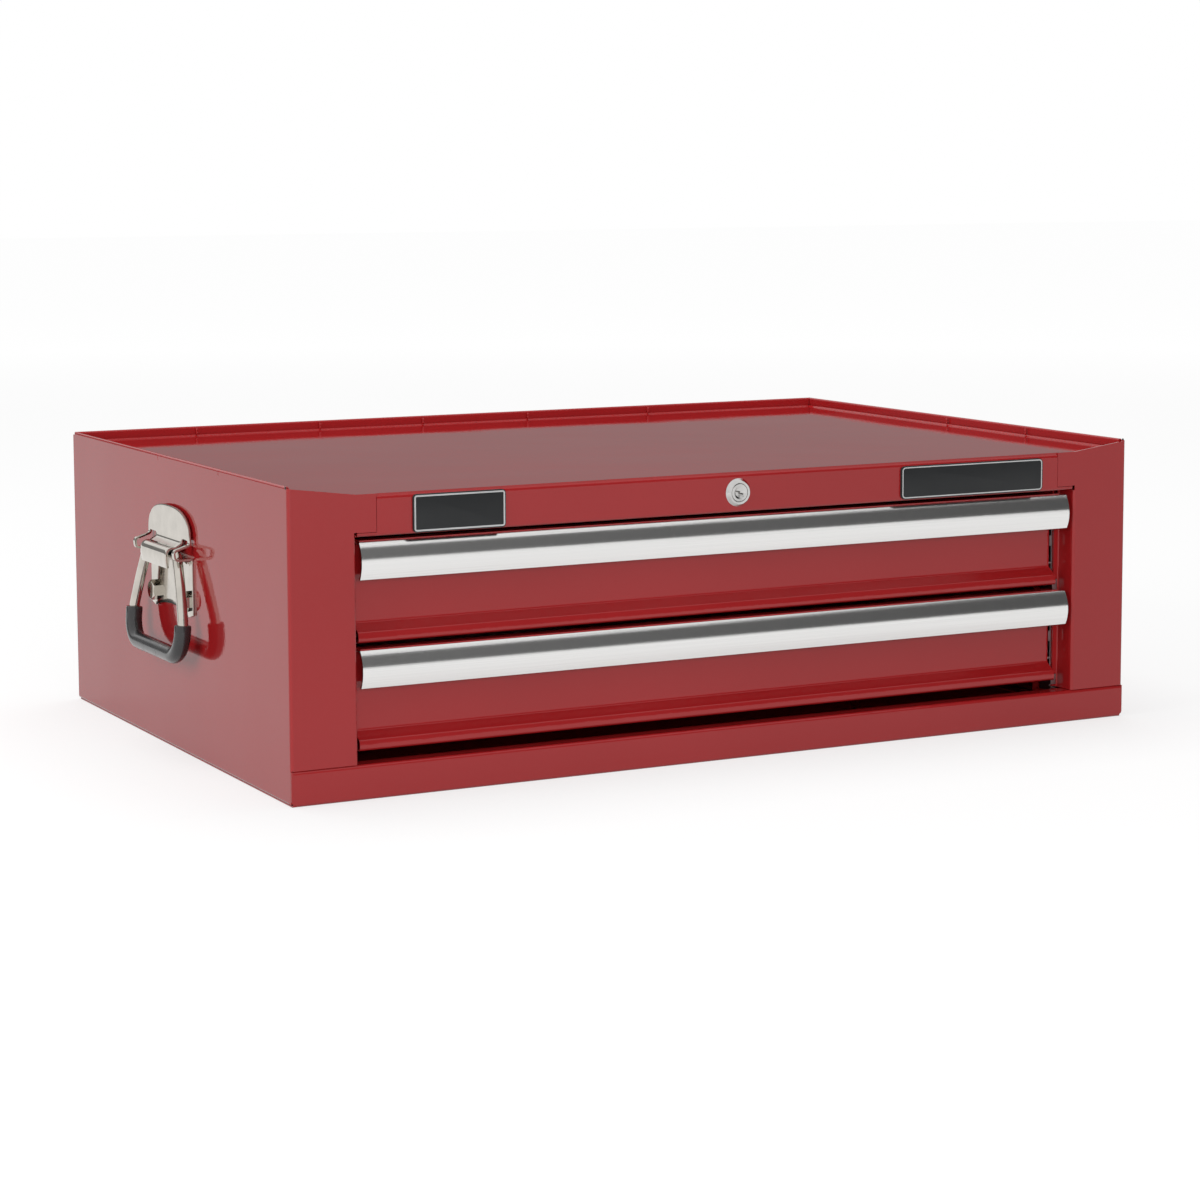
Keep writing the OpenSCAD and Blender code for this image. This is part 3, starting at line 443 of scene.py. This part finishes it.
def make_wire(name, in_bail, body):
    corners = WIRE_HALF + [(-y, z) for y, z in reversed(WIRE_HALF)]
    path = filleted(corners, WIRE_BENDS + WIRE_BENDS[::-1], closed=True)
    loops = tube_loops(path, [WIRE_R] * len(path), in_bail, closed=True)
    return skinned(name, loops, MATERIALS["handle_chrome"], body, ring=True)


def make_grip(name, in_bail, body):
    """The dipped sleeve, with a small round at each end; its end rings lie at one height."""
    ends = [(BAIL_HALF, GRIP_START), (BAIL_HALF, -BAIL_DROP)]
    ends += [(-y, z) for y, z in reversed(ends)]
    path = filleted(ends, [GRIP_BEND, GRIP_BEND], step=6.0)
    first = [path[0] + Vector((0, -drop, 0)) for drop, radius in GRIP_RIM]
    last = [path[-1] + Vector((0, -drop, 0)) for drop, radius in reversed(GRIP_RIM)]
    rising = [radius for drop, radius in GRIP_RIM]
    radii = rising + [GRIP_R] * (len(path) - 2) + rising[::-1]
    loops = tube_loops(first + path[1:-1] + last, radii, in_bail, sides=24)
    return skinned(name, loops, MATERIALS["grip_vinyl"], body)


def make_handle(side, tag):
    """Bracket, bail and grip at one side wall; side is -1 at the left and 1 at the right."""

    def at_wall(out, y, z):
        return Vector((side * (HALF_WIDTH + out * MM), HANDLE_Y + y * MM, PIVOT_Z + z * MM))

    def in_bail(a, b, c):
        out = PIVOT_OUT + c * math.cos(BAIL_LEAN) - b * math.sin(BAIL_LEAN)
        return at_wall(out, a, b * math.cos(BAIL_LEAN) + c * math.sin(BAIL_LEAN))

    body = tag + "_bail"
    bracket = make_bracket(tag + "_bracket", at_wall)
    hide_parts(tag + "_handle_bracket")
    bail = make_wire(tag + "_bail_wire", in_bail, body)
    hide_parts(tag + "_bail")
    grip = make_grip(tag + "_grip_sleeve", in_bail, body)
    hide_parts(tag + "_grip")


make_handle(-1, "left")
make_handle(1, "right")


# --- Drawer fronts ---

# In mm: depths are behind the case's front, heights above the front's lower edge
FRONT_SHEET = 0.8
PANEL_DEPTH = 16.8
LIP_DEPTH = 7.3
LIP_LEAN = 1.0
LIP_HEIGHT = 7.0
PANEL_START = 12.5
LEFT_OVERHANG = 5.5
FRONT_BENDS = [2.0 * MM, 2.0 * MM, 3.0 * MM, 1.6 * MM]


def make_drawer_front(level):
    low, high = node_box(level + "_drawer_front")
    half = FRONT_SHEET / 2 * MM
    panel = FRONT_Y + PANEL_DEPTH * MM + half
    lip = FRONT_Y + LIP_DEPTH * MM + half
    corners = [
        (high.y, low.z + half), (lip, low.z + half),
        (lip + LIP_LEAN * MM, low.z + LIP_HEIGHT * MM), (panel, low.z + PANEL_START * MM),
        (panel, high.z - half), (low.y, high.z - half)]
    path = filleted(corners, FRONT_BENDS)
    pairs = list(zip(path, normals_along(path)))
    outline = [point + normal * half for point, normal in pairs]
    outline += [point - normal * half for point, normal in reversed(pairs)]
    ends = (low.x - LEFT_OVERHANG * MM, high.x)
    loops = [[Vector((x, point.x, point.y)) for point in outline] for x in ends]
    body = level + "_drawer"
    front = skinned(level + "_front", loops, MATERIALS["red_enamel"], body)
    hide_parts(level + "_drawer_front")


make_drawer_front("lower")
make_drawer_front("upper")


# --- Rim: seam with the top panel, weld marks, painted shade of the corner holes ---

RIM_IN = 4.8 * MM
RIM_HEIGHT = 7.5 * MM
PANEL_Z = RIM_TOP - RIM_HEIGHT
RIM_X = HALF_WIDTH - RIM_IN
RIM_Y = BACK_Y - RIM_IN
SEAM_SHORT = 0.6 * MM
SEAM_FRONT = FRONT_Y + 5 * MM
# Place of the black patches that paint the shade of the corner holes
HOLE_SHADE_Y = -223.6 * MM
HOLE_SHADE_DROP = 0.9 * MM
# Places of the weld marks in mm: along X at the back, along Y at the sides
BACK_MARKS = (-239.3, -132.9, -40.7, 56.5, 172.4)
INNER_MARKS = (4.9, -104.9)
OUTER_MARKS = (27.0, -98.1)
INNER_SIZE = {"half_width": 0.95, "proud": 1.0, "height": 5.0}
OUTER_SIZE = {"half_width": 0.7, "proud": 0.22, "height": 3.4}
MARK_SHAPE = (
    (0, 0.35), (0.08, 0.8), (0.2, 1), (0.45, 0.75), (0.55, 0.75), (0.8, 1), (0.92, 0.8), (1, 0.35))


def rim_seam(name, first, last, out, radius=1.3 * MM, steps=5):
    """The rounded corner between the top panel and a rim's inner face, which looks against out."""
    outline = [(0.2 * MM, -0.1 * MM), (0.2 * MM, radius)]
    for step in range(steps + 1):
        angle = math.radians(90 * step / steps)
        outline.append((radius * math.cos(angle) - radius, radius - radius * math.sin(angle)))
    outline.append((-radius, -0.1 * MM))
    out = Vector((*out, 0))
    loops = [
        [Vector((*end, PANEL_Z + z)) + out * reach for reach, z in outline]
        for end in (first, last)]
    skinned(name, loops, MATERIALS["red_enamel"], "case")


def weld_mark(name, place, out, half_width, proud, height):
    """A small upright welt on a rim's face, with its foot at place; the sizes are in mm."""
    out = Vector(out)
    across = out.cross(Vector((0, 0, 1)))
    loops = []
    for share, size in MARK_SHAPE:
        centre = Vector(place) + Vector((0, 0, height * MM * share))
        loop = []
        for k in range(9):
            angle = math.pi * k / 8
            loop.append(centre + across * half_width * MM * size * math.cos(angle)
                        + out * proud * MM * size * math.sin(angle))
        loop.append(centre - out * 0.1 * MM)
        loops.append(loop)
    skinned(name, loops, MATERIALS["red_enamel"], "case")


def corner_hole_shade(name, side):
    """A small black patch, painted shade of the hole where a side wall's hem ends above the front
    post.
    """
    centre = Vector((side * HALF_WIDTH, HOLE_SHADE_Y, RIM_TOP - HOLE_SHADE_DROP))
    loops = []
    for size, out in ((1, -0.3), (1, 0.1), (0.85, 0.15)):
        outline = rounded_outline(1.7 * MM * size, 2.0 * MM * size, 0.7 * MM * size)
        loops.append([centre + Vector((side * out * MM, point.x, point.z)) for point in outline])
    # No hole is cut: the plates' black lacquer on this patch is painted shade
    skinned(name, loops, PLATE_AND_SHADE_BLACK, "case")


rim_seam("back_rim_seam", (SEAM_SHORT - RIM_X, RIM_Y), (RIM_X - SEAM_SHORT, RIM_Y), (0, 1))
rim_seam("left_rim_seam", (-RIM_X, SEAM_FRONT), (-RIM_X, RIM_Y - SEAM_SHORT), (-1, 0))
rim_seam("right_rim_seam", (RIM_X, SEAM_FRONT), (RIM_X, RIM_Y - SEAM_SHORT), (1, 0))
corner_hole_shade("left_corner_relief", -1)
corner_hole_shade("right_corner_relief", 1)
inner_foot = PANEL_Z + 0.9 * MM
outer_foot = RIM_TOP - 4.6 * MM
for i, x in enumerate(BACK_MARKS):
    name = "back_rim_mark_%d" % (i + 1)
    weld_mark(name, (x * MM, RIM_Y, inner_foot), (0, -1, 0), **INNER_SIZE)
for side, tag in ((-1, "left"), (1, "right")):
    for i, y in enumerate(INNER_MARKS):
        name = "%s_inner_rim_mark_%d" % (tag, i + 1)
        weld_mark(name, (side * RIM_X, y * MM, inner_foot), (-side, 0, 0), **INNER_SIZE)
    for i, y in enumerate(OUTER_MARKS):
        name = "%s_rim_mark_%d" % (tag, i + 1)
        weld_mark(name, (side * HALF_WIDTH, y * MM, outer_foot), (side, 0, 0), **OUTER_SIZE)


# --- Name plates ---

PLATE_EDGE = 0.7  # mm of black outside the border


def name_plate(name, x0, x1, z0, z1, radius, line):
    """A blank plate on the front rail, with a raised light border that is line mm wide."""
    centre = Vector(((x0 + x1) / 2, FRONT_Y, (z0 + z1) / 2))

    def outline(inset, depth):
        points = rounded_outline(x1 - x0 - 2 * inset, z1 - z0 - 2 * inset, radius - inset)
        return [centre + point - Vector((0, depth, 0)) for point in points]

    steps = ((0, 0.02), (0, 1.5), (0.08, 1.7), (0.3, 1.8))
    loops = [outline(inset * MM, depth * MM) for inset, depth in steps]
    skinned(name, loops, PLATE_AND_SHADE_BLACK, "case")
    inner = PLATE_EDGE + line
    steps = ((PLATE_EDGE, 1.7), (PLATE_EDGE + 0.05, 1.88), (inner - 0.05, 1.88), (inner, 1.7))
    loops = [outline(inset * MM, depth * MM) for inset, depth in steps]
    skinned(name + "_border", loops, BORDER, "case", ring=True)


name_plate("left_plate", -0.251, -0.1825, 0.1778, 0.2036, radius=2.6 * MM, line=1.2)
name_plate("right_plate", 0.1365, 0.262, 0.1782, 0.2024, radius=3.4 * MM, line=0.9)


# --- Stage, lamps and camera ---

CAMERA_PLACE = Vector((-1.0456, -2.0147, 0.4248))
CAMERA_YAW = 27.65
CAMERA_PITCH = 6.20
CAMERA_ROLL = 0.18
LENS = 88.54
AXIS_ROW = 480
IMAGE_ROWS = 1200
WHITE = (1, 1, 1, 1)
FLOOR_GREY = (0.3, 0.3, 0.3, 1)
FLOOR_FADE = (0.4, 4.5)    # distances from the middle
FLOOR_GLOW = (0.69, 0.86)  # at those distances
MIDDLE = (0, 0, 0.12)


def white_glow(name, strength):
    material = bpy.data.materials.new(name)
    material.use_nodes = True
    nodes = material.node_tree.nodes
    nodes.clear()
    output = nodes.new("ShaderNodeOutputMaterial")
    glow = nodes.new("ShaderNodeEmission")
    glow.inputs["Color"].default_value = WHITE
    glow.inputs["Strength"].default_value = strength
    material.node_tree.links.new(glow.outputs[0], output.inputs["Surface"])
    return material


def sees_background(tree):
    """1 for the rays that should meet the plain background: the camera's, and those off or through
    what shines."""
    path = tree.nodes.new("ShaderNodeLightPath")
    total = None
    for ray in ("Is Camera Ray", "Is Glossy Ray", "Is Transmission Ray"):
        if total is None:
            total = path.outputs[ray]
            continue
        add = tree.nodes.new("ShaderNodeMath")
        add.operation = "MAXIMUM"
        tree.links.new(total, add.inputs[0])
        tree.links.new(path.outputs[ray], add.inputs[1])
        total = add.outputs[0]
    return total


def make_world(ambient):
    world = bpy.data.worlds.new("studio")
    bpy.context.scene.world = world
    world.use_nodes = True
    tree = world.node_tree
    plain = tree.nodes["Background"]
    plain.inputs["Color"].default_value = WHITE
    plain.inputs["Strength"].default_value = ambient
    white = tree.nodes.new("ShaderNodeBackground")
    white.inputs["Color"].default_value = WHITE
    white.inputs["Strength"].default_value = 1.0
    mix = tree.nodes.new("ShaderNodeMixShader")
    tree.links.new(sees_background(tree), mix.inputs["Fac"])
    tree.links.new(plain.outputs[0], mix.inputs[1])
    tree.links.new(white.outputs[0], mix.inputs[2])
    tree.links.new(mix.outputs[0], tree.nodes["World Output"].inputs["Surface"])


def stage_plane(name, corners, material):
    mesh = bpy.data.meshes.new(name)
    mesh.from_pydata([tuple(corner) for corner in corners], [], [(0, 1, 2, 3)])
    obj = bpy.data.objects.new(name, mesh)
    obj.data.materials.append(material)
    bpy.context.scene.collection.objects.link(obj)
    return obj


def make_floor(size=14.0):
    """A pale floor that takes the object's shadow, and glows a little less near the object."""
    material = bpy.data.materials.new("floor")
    material.use_nodes = True
    tree = material.node_tree
    bsdf = tree.nodes["Principled BSDF"]
    bsdf.inputs["Base Color"].default_value = FLOOR_GREY
    bsdf.inputs["Roughness"].default_value = 1.0
    bsdf.inputs["Specular IOR Level"].default_value = 0.0
    glow = tree.nodes.new("ShaderNodeEmission")
    glow.inputs["Color"].default_value = WHITE
    away = tree.nodes.new("ShaderNodeVectorMath")
    away.operation = "LENGTH"
    tree.links.new(tree.nodes.new("ShaderNodeTexCoord").outputs["Object"], away.inputs[0])
    fade = map_range(tree, away.outputs["Value"], *FLOOR_FADE, *FLOOR_GLOW)
    level = tree.nodes.new("ShaderNodeMath")
    level.operation = "MULTIPLY"
    tree.links.new(sees_background(tree), level.inputs[0])
    tree.links.new(fade, level.inputs[1])
    tree.links.new(level.outputs[0], glow.inputs["Strength"])
    add = tree.nodes.new("ShaderNodeAddShader")
    tree.links.new(bsdf.outputs[0], add.inputs[0])
    tree.links.new(glow.outputs[0], add.inputs[1])
    tree.links.new(add.outputs[0], tree.nodes["Material Output"].inputs["Surface"])
    corners = [(-size, -size, 0), (size, -size, 0), (size, size, 0), (-size, size, 0)]
    stage_plane("floor", corners, material)


def make_painted_reflection_card(name, centre, width, height, shade, far_shade=None, far_x=None):
    """A glowing card, no lamp, that only shows in reflections: a painted reflection. Its glow may
    change along X, from shade at its left end to far_shade at far_x and beyond."""
    centre = Vector(centre)
    out = (Vector(MIDDLE) - centre).normalized()
    across = out.cross(Vector((0, 0, 1))).normalized() * width / 2
    up = across.cross(out).normalized() * height / 2
    material = white_glow(name, shade)
    if far_shade is not None:
        tree = material.node_tree
        split = tree.nodes.new("ShaderNodeSeparateXYZ")
        tree.links.new(tree.nodes.new("ShaderNodeTexCoord").outputs["Object"], split.inputs[0])
        # Painted reflection: the card's glow fades along X
        fade = map_range(tree, split.outputs["X"], centre.x - width / 2, far_x, shade, far_shade)
        tree.links.new(fade, tree.nodes["Emission"].inputs["Strength"])
    corners = [
        centre - across - up, centre + across - up, centre + across + up, centre - across + up]
    card = stage_plane(name, corners, material)
    card.visible_camera = False
    card.visible_diffuse = False
    card.visible_shadow = False


def make_lamp(name, place, width, height, power):
    """A soft lamp aimed at the object's middle, which shows in no reflection."""
    data = bpy.data.lights.new(name, "AREA")
    data.shape = "RECTANGLE"
    data.size = width
    data.size_y = height
    data.energy = power
    obj = bpy.data.objects.new(name, data)
    obj.location = place
    aim = Vector(MIDDLE) - Vector(place)
    obj.rotation_euler = aim.to_track_quat("-Z", "Y").to_euler()
    bpy.context.scene.collection.objects.link(obj)
    obj.visible_glossy = False


def make_camera():
    data = bpy.data.cameras.new("camera")
    data.sensor_width = 36.0
    data.lens = LENS
    data.shift_y = (AXIS_ROW - IMAGE_ROWS / 2) / IMAGE_ROWS
    data.clip_end = 100.0
    obj = bpy.data.objects.new("camera", data)
    obj.location = CAMERA_PLACE
    obj.rotation_euler = (
        math.radians(90 - CAMERA_PITCH), math.radians(CAMERA_ROLL), math.radians(-CAMERA_YAW))
    bpy.context.scene.collection.objects.link(obj)
    bpy.context.scene.camera = obj


make_camera()
make_world(ambient=0.42)
make_floor()
# Glowing cards seen only in reflections: painted reflections darker than the white background,
# the front one fading darker towards its right end
make_painted_reflection_card("back_card", (0, 4.0, 0.68), 12.0, 1.24, shade=0.245)
make_painted_reflection_card("front_card", (3.5, -5.0, 2.7), 13.0, 4.6, shade=0.4, far_shade=0.02, far_x=5.8)
make_lamp("overhead", (0.0, 0.5, 2.6), 2.4, 1.8, power=38)
make_lamp("front", (-0.7, -2.6, 0.5), 1.6, 0.8, power=34)
make_lamp("left", (-2.6, -0.4, 1.0), 1.6, 1.6, power=27)

bpy.context.scene.view_settings.view_transform = "Standard"
